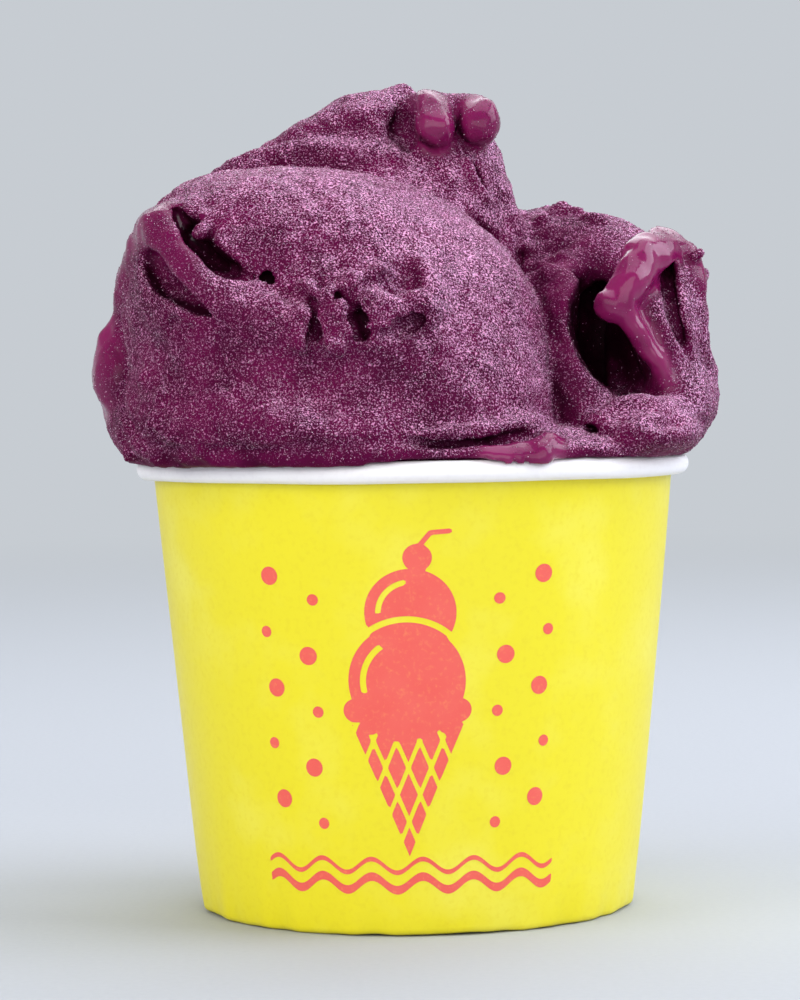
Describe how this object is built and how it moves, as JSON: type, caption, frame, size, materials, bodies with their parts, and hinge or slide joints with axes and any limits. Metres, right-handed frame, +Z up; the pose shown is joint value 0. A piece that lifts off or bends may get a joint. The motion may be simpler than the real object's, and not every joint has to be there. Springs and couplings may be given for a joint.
{
  "type": "gelato cup",
  "caption": "Small round paper cup with a rolled brim, filled with gelato that is heaped in soft folds over the brim.",
  "frame": {"origin": "centre of the ring that the cup stands on, on the table", "axes": "+Z up along the cup's axis, the front of the heap towards -Y, +X to the right seen from the front"},
  "size_m": [0.0956, 0.089, 0.1276],
  "materials": {
    "paperboard_wall": "satin coated board, yellow print, white brim",
    "paperboard_base": "satin coated board, white",
    "gelato": "frosted with ice crystals, wet gloss where it melts"
  },
  "bodies": {
    "root": {"cup_wall": "paperboard_wall", "cup_base": "paperboard_base", "gelato": "gelato"}
  },
  "joints": []
}
